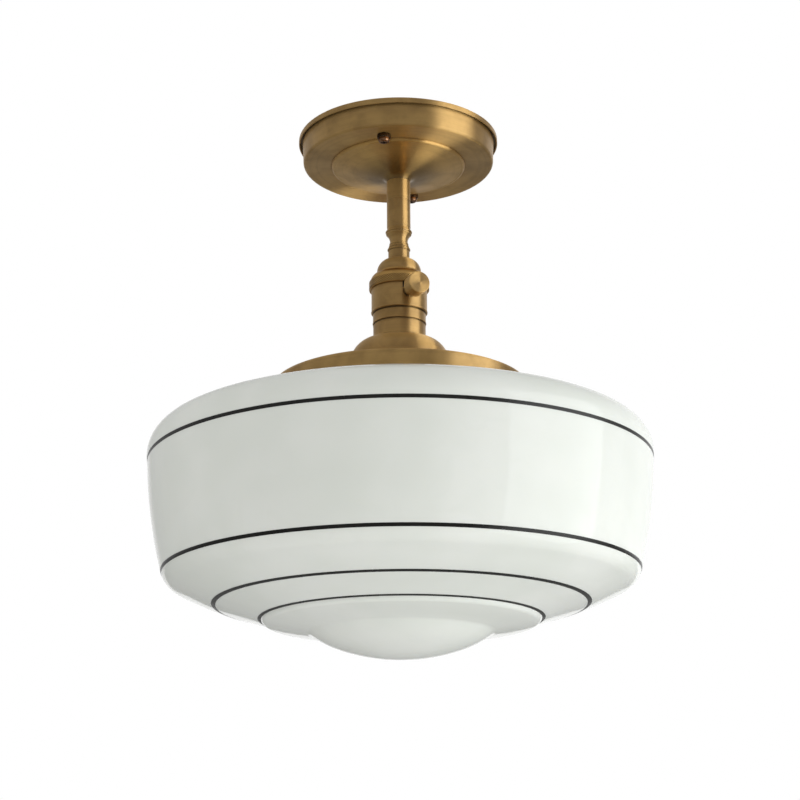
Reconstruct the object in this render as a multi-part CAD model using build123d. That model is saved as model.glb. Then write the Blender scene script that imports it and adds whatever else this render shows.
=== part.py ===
from build123d import *
import os
from math import atan, atan2, cos, hypot, pi, radians, sin, sqrt

# A semi flush ceiling light: a backplate and canopy on the ceiling, a short turned stem, a switched
# lamp socket and a six inch gallery that carries a stepped opal glass shade.
# Millimetres. The origin is on the light's axis in the ceiling plane, +Z points up into the ceiling,
# -Y faces the viewer of the photograph, and everything hangs towards -Z.

# ---- clearances ----------------------------------------------------------------------------------
thread_clearance = 0.05        # between a threaded piece and the hole it is screwed into
slip_clearance = 0.1           # between a piece and the hole it is slipped through
running_clearance = 0.05       # radial, between the switch shaft and its bearing
press_gap = 0.02               # between the shaft and what is pressed on it
glass_clearance = 0.3          # glass never touches metal hard

# ---- common sheet and thread sizes ---------------------------------------------------------------
sheet = 1.2                    # spun brass sheet
pipe_thread_r = 4.8            # outside of the hollow threaded nipples
pipe_bore_r = 3.3              # wire way through them
small_screw_r = 2.08           # canopy, ground and thumb screw thread
nut_flats = 14.3               # across the flats of the nipple nuts
nut_thick = 3.2
nut_corner_drop = 0.8          # rounding of a nut's corners, on its upper side
end_play = 0.5                 # spare length behind a screwed or slipped end
cut_over = 1.0                 # how far a cutting tool runs past the face that it cuts

# ---- backplate and strap -------------------------------------------------------------------------
backplate_r = 63.5
backplate_depth = 3.8          # how far its turned edge hangs below the ceiling
backplate_lip = 0.9            # thickness of that edge
backplate_round = 1.2          # rounding of its upper corner
backplate_hole_r = 30.0        # opening below the outlet box
strap_end_margin = 6.2         # strap beyond each canopy screw
strap_width = 16.0
strap_thick = 2.0
strap_turn = 10.6              # degrees that the strap is turned from the front to back line
box_hole_spacing = 69.85       # outlet box screws, centre to centre
box_hole_r = 2.6
ground_screw_offset = 17.0     # along the strap from the axis
ground_washer_r = 4.4
ground_washer_thick = 0.9
ground_head_flats = 6.8
ground_head_height = 2.5
ground_slot_width = 0.9
ground_slot_depth = 0.8

# ---- canopy and its screws -----------------------------------------------------------------------
canopy_gap = 1.4               # between the canopy and the backplate's edge
canopy_taper = 0.65            # how much narrower the wall is at its lower edge
canopy_depth = 17.3            # ceiling to the flat underside
canopy_edge_r = 1.7            # rounding of the lower edge
screw_to_bell = 0.4            # between a knurled washer and the bell's edge
canopy_screw_head_r = 3.5
canopy_screw_head_height = 2.6
canopy_screw_head_edge = 0.8   # straight part of the head, next to the washer
canopy_screw_crown_r = 1.6     # flat middle of the head
recess_width = 0.8             # cross recess
recess_length = 3.4
recess_depth = 1.2
knurled_washer_r = 4.15
knurled_washer_thick = 2.4
washer_groove_count = 20
washer_groove_r = 0.28

# ---- bell under the canopy -----------------------------------------------------------------------
bell_r = 42.6
bell_depth = 10.9
bell_rim_height = 2.0          # rounded rim
bell_rim_width = 2.2
bell_rim_bulge = 0.75          # the rim's roundness
bell_flare_r = 11.5            # where the shallow cone turns into the flare of the neck
bell_flare_drop = 8.2          # how far that circle lies below the canopy
bell_cone_bulge = -0.25
bell_flare_bulge = -0.5
bell_wall = 1.0

# ---- stem ----------------------------------------------------------------------------------------
stem_r = 7.45
stem_bore_r = 3.6
collar_length = 13.9
tube_length = 17.7
edge_break = 0.3               # small chamfers on turned pieces
bead_height = 0.85             # how far the coupling's bead stands out from the stem
bead_drop = 2.9                # top of the coupling to the middle of its bead
bead_land = 0.8                # height of the bead's outer face
bead_groove_depth = 0.55
bead_groove_width = 0.25
coupling_foot_step = 0.35      # the cone's foot inside the bead's radius
coupling_foot_drop = 4.9       # top of the coupling to the start of its cone
cone_drop = 9.6                # top of the coupling to the end of its cone
coupling_length = 10.6
cone_end_r = 5.6
spigot_length = 6.0
check_ring_length = 5.2
check_ring_radii = (6.05, 6.45, 7.2)
# Outline of one bead: share of its height, step inside its radius, bulge on the way there.
check_ring_bead = ((0.25, 0.15, 0.1), (0.55, 0.0, 0.05), (0.85, 0.2, 0.08))
check_ring_groove = 0.35       # between two beads, inside the upper one's radius
check_ring_core_r = 5.6
nipple_above_nut = 2.0
nipple_in_tube = 8.0
lock_washer_thick = 0.8
lock_washer_r = 8.6
lock_washer_teeth = 12
lock_washer_notch = (0.8, 1.3)  # depth and width of the notch between two teeth
nipple_in_coupling = 6.8

# ---- socket --------------------------------------------------------------------------------------
cap_neck_r = 6.7
cap_neck_length = 6.1
cap_dome_r = 13.8
cap_dome_height = 9.5
cap_dome_foot = 0.4            # straight part below the dome
cap_dome_bulge = 2.1
cap_neck_fillet = 0.5          # from the neck out to the dome
cap_wall = 1.0
cap_boss_depth = 2.3           # threaded boss below the neck, inside the dome
cap_flange_step = 0.45         # cap flange inside the shell's radius
cap_flange_thick = 1.0
ring_wall = 1.45               # knurled ring outside the shell
ring_height = 10.8
ring_shoulder_step = 0.95      # knurl outside the ring's shoulder
ring_shoulder_drop = 5.2       # top of the ring to the top of its knurl
ring_ledge_drop = 6.3          # top of the ring to the ledge that clamps the cap
ring_lip = 0.35                # flat lip round the ring's bore
ring_shoulder_bulge = 1.0
ring_groove_drop = 0.6         # lower edge of the ring up to the middle of its groove
ring_groove_depth = 0.35
shell_r = 17.35
shell_wall = 0.7
shell_height = 18.8
shell_flange_thick = 1.0
shell_bead = 0.25              # how far the bead at its lower edge stands out
shell_bead_height = 1.0
slot_width = 9.0               # slot for the switch shaft in the shell's upper edge
sleeve_step = 1.75             # threaded sleeve, which carries the shade holder, inside the shell
sleeve_wall = 0.7
sleeve_tail = 2.65             # sleeve below the lock ring
sleeve_flange_thick = 1.0
upper_band_wall = 0.85
upper_band_height = 6.1
lower_band_wall = 0.7
lower_band_height = 8.8
band_gap = 1.1                 # shadow line above each band
band_bead = 0.25               # how far the bead on a band's upper and lower edge stands out
liner_wall = 0.5
liner_overlap = 1.0            # liner starts below the switch body's foot
liner_recess = 0.6             # and ends above the sleeve's
switch_body_clearance = 0.15   # inside the liner
switch_body_drop = 1.05        # below the cap's flange
switch_body_height = 15.4
insulator_thick = 3.0
insulator_bore_r = 3.0
rivet_r = 2.9                  # of the centre contact, through the insulator
screw_shell_hole_r = 5.5       # in its top, round the centre contact
screw_shell_step = 0.3         # screw shell inside the switch body's radius
screw_shell_wall = 0.4
screw_shell_recess = 1.5       # above the sleeve's lower end
terminal_offset = 9.6          # terminal screws from the axis
terminal_head_r = 2.4
terminal_head_height = 1.6
terminal_shank_r = 1.4
terminal_shank_length = 6.0
contact_strip_width = 5.0
contact_strip_thick = 0.5
contact_drop = 3.2             # insulator to the bulb's tip

# ---- rotary switch -------------------------------------------------------------------------------
switch_turn = 22.0             # degrees that the knob is turned from the front to the right
switch_drop = 8.85             # shaft below the shell's upper edge
shaft_r = 1.6
cam_start = 5.2                # from the light's axis, along the shaft
shaft_tail = 0.6               # shaft beyond the cam
cam_thick = 3.6
cam_r = 4.0
cam_lobes = 4
cam_lobe_r = 1.2
cam_core_share = 0.82          # radius between the lobes, of the cam's
pocket_margin = 0.6            # space round the cam
bushing_r = 3.1
bushing_flange_step = 0.9      # its flange beyond its body
bushing_flange_thick = 1.0
bushing_stand_out = 2.85       # bushing outside the shell
knob_hub_r = 3.9
knob_gap = 0.4                 # between the bushing and the knob
knob_hub_length = 4.0
knob_length = 8.4
knob_r = 6.9
knob_edge = 0.7
knob_flute_count = 28
knob_flute_r = 0.32
knob_flute_margin = 0.9        # plain face above and below the flutes
flute_shift = 0.08             # a flute's centre outside the surface that it is cut into
knob_bore_depth = 5.0          # how far the shaft reaches into the knob's head

# ---- shade holder --------------------------------------------------------------------------------
holder_lip_wall = 1.4
holder_lip_height = 1.2
holder_crown_fall = 0.4        # how far the crown slopes down outwards
holder_dome_bulge = 2.6
holder_foot_bulge = -1.9
holder_slope_fall = 0.3        # rise of the sloped plate above the flat seat
holder_crown_width = 5.4       # threaded sleeve to where the flat crown turns into the dome
holder_dome_width = 9.4        # from there to the foot of the dome
holder_dome_height = 14.6      # top of the lip to the foot of the dome
holder_foot_width = 5.6        # foot of the dome to the start of the sloped plate
holder_foot_drop = 23.6        # top of the lip to where the sloped plate starts
seat_width = 12.5              # flat seat above the glass, inwards from the rim
plate_flat_drop = 30.4
gallery_r = 78.5
gallery_round = 2.2            # rounded upper edge of the gallery's rim
rim_below_screws = 4.4         # thumb screws to the lower edge of the rim
lock_ring_step = 2.0           # lock ring inside the holder's crown
lock_ring_height = 4.0
lock_ring_notch_count = 6
lock_ring_notch_depth = 1.0
lock_ring_notch_width = 3.0
thumb_screw_count = 3
thumb_screw_turn = 90.0        # degrees from +X of the first one
thumb_below_lip = 1.7          # foot of the glass lip to the screws' axis
thumb_tip_r = 0.8
thumb_tip_length = 1.2
thumb_head_r = 3.5
thumb_head_gap = 2.1           # between the rim and the head
thumb_head_length = 5.0
thumb_collar_r = 2.9
thumb_collar_length = 1.2
thumb_edge = 0.5
thumb_flute_count = 18
thumb_flute_r = 0.3

# ---- glass shade ---------------------------------------------------------------------------------
glass_wall = 4.0
rim_gap = 2.3                  # between the gallery's rim and the glass lip
neck_lip_height = 5.0
neck_lip_depth = 3.0           # how far the lip stands out from the neck
neck_height = 12.25            # lip's top to the end of the straight neck
neck_fillet = 4.0              # from the neck out to the shoulder
shoulder_drop = 15.35          # lip's top to the start of the shoulder
# Stations of the outside: radius, drop below the lip's top (height above the lowest point for the
# tiers, so that the drum takes up any change of height), and how far the stretch that ends there
# bulges from its chord.
shoulder_end = (139.5, 28.45, 2.7)
upper_stripe = (152.1, 49.75, 4.8)
drum_stripe = (142.1, 49.0, 1.9)
bowl_corner = (133.0, 40.4, 1.5)
third_stripe = (110.8, 30.9, 0.4)
third_crease = (109.2, 30.4, 0.0)
fourth_edge = (82.9, 22.4, -0.2)
fourth_shoulder = (79.7, 19.8, 0.52)
fifth_edge = (56.3, 15.3, 0.1)
fifth_hollow = (53.2, 14.0, -0.18)
dome_shoulder = (36.5, 5.8, 0.72)
shade_height = 165.1
lip_round = 1.0                # rounding of the lip's upper edge
neck_fillet_bulge = 0.6

# ---- lamp bulb -----------------------------------------------------------------------------------
bulb_contact_r = 4.6
bulb_contact_round = 0.6
bulb_contact_height = 1.2
bulb_cap_clearance = 0.4       # inside the screw shell
bulb_cap_top_r = 8.0
bulb_cap_cone = 3.0
bulb_cap_length = 20.6
bulb_cap_wall = 0.4
bulb_cap_crown = 1.0           # thickness of its closed end
bulb_neck_step = 1.5           # neck of the glass outside its cap
bulb_r = 30.0
bulb_length = 108.0
bulb_glass = 0.9
bulb_thread_depth = 0.5
bulb_thread_count = 4
bulb_thread_bulge = 0.15
bulb_thread_margin = 3.0       # plain wall below the thread
bulb_cap_rim = 2.0             # full width of the cap at its lower edge
bulb_taper_length = 9.0        # neck, below its straight millimetre
bulb_taper_step = 1.6          # how much wider the neck is there
bulb_join = 35.0               # degrees above the middle where the neck meets the ball
bulb_neck_bulge = -0.9

# ---- wires ---------------------------------------------------------------------------------------
lead_r = 1.15
core_r = 0.6
lead_offset = 1.45             # from the axis, in the stem
lead_above_nipple = 4.1
lead_below_nut = 1.3           # where the leads spread
stripped_length = 5.0
lead_bend_r = 5.0
lead_landing = 1.9             # above the terminal, where the lead ends
lead_strip_back = 1.5          # insulation that stops short of the terminal
core_clearance = 0.02          # between a core and its insulation
ground_wire_r = 0.9
ground_tail_reach = 3.0        # how far the ground wire clears the strap's side
ground_tail_margin = 0.2       # its end below the ceiling

# ---- places worked out from the sizes ------------------------------------------------------------
plate_under_z = -sheet
strap_top_z = plate_under_z
strap_under_z = strap_top_z - strap_thick
backplate_inner_r = backplate_r - backplate_lip
canopy_r = backplate_inner_r - canopy_gap
canopy_under_z = -canopy_depth
canopy_inside_z = canopy_under_z + sheet
canopy_screw_radius = bell_r + screw_to_bell + knurled_washer_r
strap_length = 2 * (canopy_screw_radius + strap_end_margin)
bell_neck_z = canopy_under_z - bell_depth
nut_bottom_z = canopy_inside_z + lock_washer_thick
nut_top_z = nut_bottom_z + nut_thick
nipple_top_z = nut_top_z + nipple_above_nut
thread_hole_r = pipe_thread_r + thread_clearance

collar_bottom_z = bell_neck_z - collar_length
tube_bottom_z = collar_bottom_z - tube_length
nipple_bottom_z = collar_bottom_z - nipple_in_tube
bead_r = stem_r + bead_height
coupling_bottom_z = tube_bottom_z - coupling_length
socket_nipple_top_z = coupling_bottom_z + nipple_in_coupling
check_ring_bottom_z = coupling_bottom_z - check_ring_length

cap_neck_bottom_z = check_ring_bottom_z - cap_neck_length
cap_boss_bottom_z = cap_neck_bottom_z - cap_boss_depth
socket_nut_bottom_z = cap_boss_bottom_z - nut_thick
cap_dome_bottom_z = cap_neck_bottom_z - cap_dome_height
cap_flange_r = shell_r - cap_flange_step
ring_r = shell_r + ring_wall
ring_shoulder_r = ring_r - ring_shoulder_step
ring_top_z = cap_dome_bottom_z
ring_bottom_z = ring_top_z - ring_height
ring_ledge_z = ring_top_z - ring_ledge_drop
cap_flange_bottom_z = ring_ledge_z - thread_clearance - cap_flange_thick
shell_top_z = cap_flange_bottom_z
shell_bottom_z = shell_top_z - shell_height
sleeve_r = shell_r - sleeve_step
sleeve_hole_r = sleeve_r + thread_clearance
upper_band_r = sleeve_r + upper_band_wall
lower_band_r = sleeve_r + lower_band_wall
upper_band_top_z = shell_bottom_z - band_gap
upper_band_bottom_z = upper_band_top_z - upper_band_height
lower_band_top_z = upper_band_bottom_z - band_gap
lower_band_bottom_z = lower_band_top_z - lower_band_height
liner_r = sleeve_r - sleeve_wall - thread_clearance
switch_body_r = liner_r - liner_wall - switch_body_clearance
switch_body_top_z = cap_flange_bottom_z - switch_body_drop
switch_body_bottom_z = switch_body_top_z - switch_body_height
insulator_bottom_z = switch_body_bottom_z - insulator_thick
screw_shell_r = switch_body_r - screw_shell_step

switch_place = switch_turn - 90    # the switch's direction, in degrees from +X
switch_z = shell_top_z - switch_drop
shaft_inner_end = cam_start - shaft_tail
bushing_end = shell_r + bushing_stand_out
knob_hub_start = bushing_end + knob_gap
knob_start = knob_hub_start + knob_hub_length

holder_top_z = lower_band_bottom_z
holder_under_z = holder_top_z - holder_lip_height - sheet
holder_lip_r = sleeve_r + holder_lip_wall
holder_crown_r = sleeve_r + holder_crown_width
holder_dome_r = holder_crown_r + holder_dome_width
holder_foot_r = holder_dome_r + holder_foot_width
lock_ring_r = holder_crown_r - lock_ring_step
lock_ring_bottom_z = holder_under_z - lock_ring_height
sleeve_bottom_z = lock_ring_bottom_z - sleeve_tail
screw_shell_bottom_z = sleeve_bottom_z + screw_shell_recess
plate_flat_r = gallery_r - seat_width
plate_flat_z = holder_top_z - plate_flat_drop
seat_z = plate_flat_z - sheet

shade_top_z = seat_z - glass_clearance
neck_lip_r = gallery_r - sheet - rim_gap
neck_r = neck_lip_r - neck_lip_depth
lip_foot_z = shade_top_z - neck_lip_height - neck_lip_depth
thumb_screw_z = lip_foot_z - thumb_below_lip
gallery_bottom_z = thumb_screw_z - rim_below_screws
thumb_head_start = gallery_r + thumb_head_gap
shade_bottom_z = shade_top_z - shade_height

bulb_cap_r = screw_shell_r - screw_shell_wall - bulb_cap_clearance
bulb_neck_r = bulb_cap_r + bulb_neck_step
bulb_tip_z = insulator_bottom_z - contact_drop
bulb_cap_top_z = bulb_tip_z - bulb_contact_height
bulb_cap_bottom_z = bulb_cap_top_z - bulb_cap_length
lead_top_z = nipple_top_z + lead_above_nipple
lead_bend_z = socket_nut_bottom_z - lead_below_nut
strap_rotation = Rot(0, 0, -strap_turn)


# ---- helpers -------------------------------------------------------------------------------------
def bulged(start, end, bulge):
    """Edge between two (radius, height) points that bulges to the left of its direction."""
    a = Vector(start[0], 0, start[1])
    b = Vector(end[0], 0, end[1])
    if abs(bulge) < 1e-6:
        return Edge.make_line(a, b)
    chord = b - a
    left = Vector(-chord.Z, 0, chord.X).normalized()
    return Edge.make_three_point_arc(a, (a + b) * 0.5 + left * bulge, b)


def turned(*stations):
    """Solid of revolution; a station is (radius, height) or (radius, height, bulge on the way)."""
    edges = []
    closed = list(stations) + [stations[0]]
    for here, there in zip(closed, closed[1:]):
        bulge = there[2] if len(there) > 2 and there is not stations[0] else 0.0
        if hypot(there[0] - here[0], there[1] - here[1]) > 1e-6:
            edges.append(bulged(here[:2], there[:2], bulge))
    return revolve(make_face(Wire(edges)), Axis.Z, 360)


def quarter_bulge(radius):
    """Bulge of a quarter circle from its chord."""
    return radius * (1 - cos(pi / 4))


def backwards(stations):
    """A line of stations the other way round, each bulge kept on its own stretch."""
    line = []
    bulge_after = 0.0
    for radius, height, bulge in reversed(stations):
        line.append((radius, height, -bulge_after))
        bulge_after = bulge
    return line


def ring(outer_r, inner_r, top_z, bottom_z, chamfer_size=0.0):
    """Tube about the axis, with its outer edges broken."""
    c = chamfer_size
    return turned((inner_r, top_z), (outer_r - c, top_z), (outer_r, top_z - c),
                  (outer_r, bottom_z + c), (outer_r - c, bottom_z), (inner_r, bottom_z))


def post(radius, top_z, bottom_z, x=0.0, y=0.0):
    """Upright cylinder."""
    height = top_z - bottom_z
    return Pos(x, y, (top_z + bottom_z) / 2) * Cylinder(radius, height)


def hex_nut(flats, bore_r, top_z, bottom_z):
    """Hexagon nut about the axis, with the corners of its upper side rounded down."""
    corner_r = flats / sqrt(3)
    body = Pos(0, 0, bottom_z) * extrude(RegularPolygon(flats / 2, 6, major_radius=False), top_z - bottom_z)
    rounding = turned((0, top_z), (flats / 2, top_z), (corner_r, top_z - nut_corner_drop),
                      (corner_r, bottom_z), (0, bottom_z))
    return (body & rounding) - post(bore_r, top_z + cut_over, bottom_z - cut_over)


def radial_place(angle_from_x, z, distance=0.0):
    """Frame at a distance from the axis whose own +Z points straight outwards."""
    return Rot(0, 0, angle_from_x) * Pos(distance, 0, z) * Rot(0, 90, 0)


def radial_rod(place_angle, z, radius, start, end):
    """Cylinder that lies along a radius, between two distances from the axis."""
    return radial_place(place_angle, z, (start + end) / 2) * Cylinder(radius, end - start)


def arc_turn(start, end, bulge):
    """Angle between the chord and the tangent at each end of a bulged stretch."""
    return 2 * atan(2 * bulge / hypot(end[0] - start[0], end[1] - start[1]))


def inset(stations, wall):
    """Inner line of a shell: every station moved inwards, every arc kept parallel."""
    inner = []
    for i, here in enumerate(stations):
        tangents = []
        if i > 0:
            before = stations[i - 1]
            heading = atan2(here[1] - before[1], here[0] - before[0])
            tangents.append(heading - arc_turn(before, here, here[2]))
        if i < len(stations) - 1:
            after = stations[i + 1]
            heading = atan2(after[1] - here[1], after[0] - here[0])
            tangents.append(heading + arc_turn(here, after, after[2]))
        inward_r = sum(sin(t) for t in tangents)
        inward_z = sum(-cos(t) for t in tangents)
        size = hypot(inward_r, inward_z)
        radius = max(0.0, here[0] + wall * inward_r / size)
        inner.append([radius, here[1] + wall * inward_z / size, 0.0])
    for i in range(1, len(stations)):
        bulge = stations[i][2]
        if abs(bulge) < 1e-6:
            continue
        chord = hypot(stations[i][0] - stations[i - 1][0], stations[i][1] - stations[i - 1][1])
        arc_r = (chord * chord / 4 + bulge * bulge) / (2 * abs(bulge))
        new_r = arc_r - wall if bulge > 0 else arc_r + wall
        half = hypot(inner[i][0] - inner[i - 1][0], inner[i][1] - inner[i - 1][1]) / 2
        new_r = max(new_r, half * 1.05)
        inner[i][2] = (new_r - sqrt(new_r * new_r - half * half)) * (1 if bulge > 0 else -1)
    return [tuple(p) for p in inner]


# ---- on the ceiling ------------------------------------------------------------------------------
def make_backplate():
    """Thin disc with an edge that turns down round the canopy."""
    low = -backplate_depth
    half_lip = backplate_lip / 2
    plate = turned((backplate_hole_r, 0), (backplate_r - backplate_round, 0),
                   (backplate_r, -backplate_round, quarter_bulge(backplate_round)),
                   (backplate_r, low + half_lip), (backplate_inner_r, low + half_lip, half_lip),
                   (backplate_inner_r, plate_under_z), (backplate_hole_r, plate_under_z))
    for side in (-1, 1):
        hole = post(box_hole_r, cut_over, plate_under_z - cut_over, 0, side * box_hole_spacing / 2)
        plate -= strap_rotation * hole
        screw_way = post(small_screw_r + slip_clearance, cut_over, plate_under_z - cut_over,
                         0, side * canopy_screw_radius)
        plate -= strap_rotation * screw_way
    return plate


def make_mounting_strap():
    sketch = SlotOverall(strap_length, strap_width)
    bar = Pos(0, 0, strap_under_z) * extrude(Rot(0, 0, 90) * sketch, strap_thick)
    holes = [(thread_hole_r, 0.0), (small_screw_r + thread_clearance, ground_screw_offset)]
    for side in (-1, 1):
        holes.append((box_hole_r, side * box_hole_spacing / 2))
        holes.append((small_screw_r + thread_clearance, side * canopy_screw_radius))
    for radius, along in holes:
        bar -= post(radius, cut_over, strap_under_z - cut_over, 0, along)
    return strap_rotation * bar


def make_ground_screw():
    """Green screw with a hexagon head, a slot and a washer face that holds the bare wire."""
    face_z = strap_under_z - 2 * ground_wire_r - 2 * slip_clearance
    head_z = face_z - ground_washer_thick
    end_z = head_z - ground_head_height
    sketch = RegularPolygon(ground_head_flats / 2, 6, major_radius=False)
    head = post(ground_washer_r, face_z, head_z) + Pos(0, 0, end_z) * extrude(sketch, ground_head_height)
    shank = post(small_screw_r, strap_top_z, face_z)
    slot = Pos(0, 0, end_z) * Box(2 * ground_head_flats, ground_slot_width, 2 * ground_slot_depth)
    return strap_rotation * Pos(0, ground_screw_offset, 0) * (head + shank - slot)


def make_ground_wire():
    """Bare wire: a hook round the ground screw and a tail up through the backplate's hole."""
    hook_r = small_screw_r + thread_clearance + ground_wire_r
    z = strap_under_z - ground_wire_r - slip_clearance
    tail_run = strap_width / 2 + ground_tail_reach
    rise_r = 3 * ground_wire_r
    hook_start, hook_middle = radians(200), radians(320)
    start = Vector(hook_r * cos(hook_start), hook_r * sin(hook_start), z)
    middle = Vector(hook_r * cos(hook_middle), hook_r * sin(hook_middle), z)
    leave = Vector(0, hook_r, z)
    bend_start = Vector(-tail_run, hook_r, z)
    bend_end = Vector(-tail_run - rise_r, hook_r, z + rise_r)
    bend_middle = Vector(-tail_run - rise_r * sin(pi / 4), hook_r, z + rise_r * (1 - cos(pi / 4)))
    hook = Edge.make_three_point_arc(start, middle, leave)
    run = Edge.make_line(leave, bend_start)
    bend = Edge.make_three_point_arc(bend_start, bend_middle, bend_end)
    rise = Edge.make_line(bend_end, Vector(-tail_run - rise_r, hook_r, -ground_tail_margin))
    path = Wire([hook, run, bend, rise])
    section = Plane(origin=path.position_at(0), z_dir=path.tangent_at(0)) * Circle(ground_wire_r)
    return strap_rotation * Pos(0, ground_screw_offset, 0) * sweep(section, path)


def make_canopy():
    """Spun cup: a wall that narrows a little, a rounded lower edge and a flat underside."""
    lower_r = canopy_r - canopy_taper
    e = canopy_edge_r
    body = turned((canopy_r - sheet, plate_under_z), (canopy_r, plate_under_z),
                  (lower_r, canopy_under_z + e), (lower_r - e, canopy_under_z, quarter_bulge(e)),
                  (thread_hole_r, canopy_under_z), (thread_hole_r, canopy_inside_z),
                  (lower_r - sheet, canopy_inside_z))
    for side in (-1, 1):
        hole = post(small_screw_r + slip_clearance, canopy_inside_z + cut_over, canopy_under_z - cut_over,
                    0, side * canopy_screw_radius)
        body -= strap_rotation * hole
    return body


def make_canopy_screws():
    """Two machine screws with rounded, cross recessed heads."""
    head_top = canopy_under_z - knurled_washer_thick
    head_low = head_top - canopy_screw_head_height
    r = canopy_screw_head_r
    screw = turned((0, strap_top_z), (small_screw_r, strap_top_z), (small_screw_r, head_top),
                   (r, head_top), (r, head_top - canopy_screw_head_edge),
                   (canopy_screw_crown_r, head_low, 0.7), (0, head_low))
    recess = Box(recess_width, recess_length, 2 * recess_depth)
    recess += Box(recess_length, recess_width, 2 * recess_depth)
    screw -= Pos(0, 0, head_low) * recess
    places = [strap_rotation * Pos(0, side * canopy_screw_radius, 0) for side in (-1, 1)]
    return Compound(children=[place * screw for place in places])


def make_canopy_washers():
    """Two small knurled collars under the screw heads."""
    top = canopy_under_z
    low = canopy_under_z - knurled_washer_thick
    collar = ring(knurled_washer_r, small_screw_r + slip_clearance, top, low, edge_break)
    groove = post(washer_groove_r, top + cut_over, low - cut_over)
    for i in range(washer_groove_count):
        angle = 2 * pi * i / washer_groove_count
        collar -= Pos(knurled_washer_r * cos(angle), knurled_washer_r * sin(angle), 0) * groove
    places = [strap_rotation * Pos(0, side * canopy_screw_radius, 0) for side in (-1, 1)]
    return Compound(children=[place * collar for place in places])


def make_canopy_bell():
    """Spun cover: a rounded rim and a shallow cone that flares into the stem's neck."""
    rim_r = bell_r - bell_rim_width
    rim_z = canopy_under_z - bell_rim_height
    flare_z = canopy_under_z - bell_flare_drop
    w = bell_wall
    return turned((bell_r, canopy_under_z), (rim_r, rim_z, bell_rim_bulge),
                  (bell_flare_r, flare_z, bell_cone_bulge), (stem_r, bell_neck_z, bell_flare_bulge),
                  (thread_hole_r, bell_neck_z), (thread_hole_r, bell_neck_z + w),
                  (stem_r - w, bell_neck_z + w),
                  (bell_flare_r - w / 3, flare_z + w, -bell_flare_bulge * 0.6),
                  (rim_r - w / 2, rim_z + w, -bell_cone_bulge), (bell_r - w, canopy_under_z, -0.3))


def make_lock_washer():
    """Toothed lock washer under the nipple's nut."""
    depth, width = lock_washer_notch
    washer = ring(lock_washer_r, thread_hole_r, nut_bottom_z, canopy_inside_z)
    notch = Box(2 * depth, width, 4 * lock_washer_thick)
    for i in range(lock_washer_teeth):
        washer -= Rot(0, 0, 360 * i / lock_washer_teeth) * Pos(lock_washer_r, 0, canopy_inside_z) * notch
    return washer


# ---- stem ----------------------------------------------------------------------------------------
def make_stem_tube():
    """Bored rod, counterbored at both ends for the nipple and the coupling's spigot."""
    bore_end_z = nipple_bottom_z - 2 * end_play
    spigot_z = tube_bottom_z + spigot_length + 2 * end_play
    c = edge_break
    return turned((thread_hole_r, collar_bottom_z), (stem_r - c, collar_bottom_z),
                  (stem_r, collar_bottom_z - c), (stem_r, tube_bottom_z),
                  (thread_hole_r, tube_bottom_z), (thread_hole_r, spigot_z),
                  (stem_bore_r, spigot_z), (stem_bore_r, bore_end_z),
                  (thread_hole_r, bore_end_z))


def make_turned_coupling():
    """Spigot into the tube, a bead, a groove and a cone down to the check ring."""
    top = tube_bottom_z
    spigot_z = top + spigot_length
    bore_top_z = socket_nipple_top_z + end_play
    bead_z = top - bead_drop
    groove_z = bead_z - bead_land - 0.2
    foot_r = bead_r - coupling_foot_step
    return turned((pipe_bore_r, spigot_z), (pipe_thread_r, spigot_z), (pipe_thread_r, top),
                  (stem_r - 0.15, top), (stem_r - 0.1, top - 1.0), (bead_r, bead_z, -0.25),
                  (bead_r - 0.1, bead_z - bead_land, 0.12), (bead_r - bead_groove_depth, groove_z),
                  (bead_r - bead_groove_depth, groove_z - bead_groove_width),
                  (foot_r, groove_z - bead_groove_width - 0.15),
                  (foot_r - 0.05, top - coupling_foot_drop, 0.05),
                  (cone_end_r, top - cone_drop, -0.55), (cone_end_r, coupling_bottom_z),
                  (thread_hole_r, coupling_bottom_z), (thread_hole_r, bore_top_z), (pipe_bore_r, bore_top_z))


def make_check_ring():
    """One turned ring that reads as three stacked beads."""
    bead = check_ring_length / len(check_ring_radii)
    stations = [(thread_hole_r, coupling_bottom_z), (check_ring_core_r, coupling_bottom_z)]
    for i, radius in enumerate(check_ring_radii):
        top = coupling_bottom_z - i * bead
        stations += [(radius - step, top - share * bead, bulge) for share, step, bulge in check_ring_bead]
        stations.append((radius - check_ring_groove, top - bead))
    stations.append((thread_hole_r, check_ring_bottom_z))
    return turned(*stations)


# ---- socket --------------------------------------------------------------------------------------
def make_socket_cap():
    """Short neck, dome and flange, with a threaded boss inside for the nipple."""
    top = check_ring_bottom_z
    dome_foot_z = cap_dome_bottom_z + cap_dome_foot
    flange_top_z = ring_ledge_z - thread_clearance
    inner_r = cap_dome_r - cap_wall
    boss_r = cap_neck_r + 0.6
    c = edge_break
    return turned((thread_hole_r, top), (cap_neck_r - c, top), (cap_neck_r, top - c),
                  (cap_neck_r, cap_neck_bottom_z + c),
                  (cap_neck_r + cap_neck_fillet, cap_neck_bottom_z, -0.1),
                  (cap_dome_r, dome_foot_z, cap_dome_bulge), (cap_dome_r, flange_top_z),
                  (cap_flange_r, flange_top_z), (cap_flange_r, cap_flange_bottom_z),
                  (inner_r, cap_flange_bottom_z), (inner_r, dome_foot_z),
                  (boss_r + cap_wall, cap_boss_bottom_z + 1.2, -1.5), (boss_r, cap_boss_bottom_z),
                  (thread_hole_r, cap_boss_bottom_z))


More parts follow.
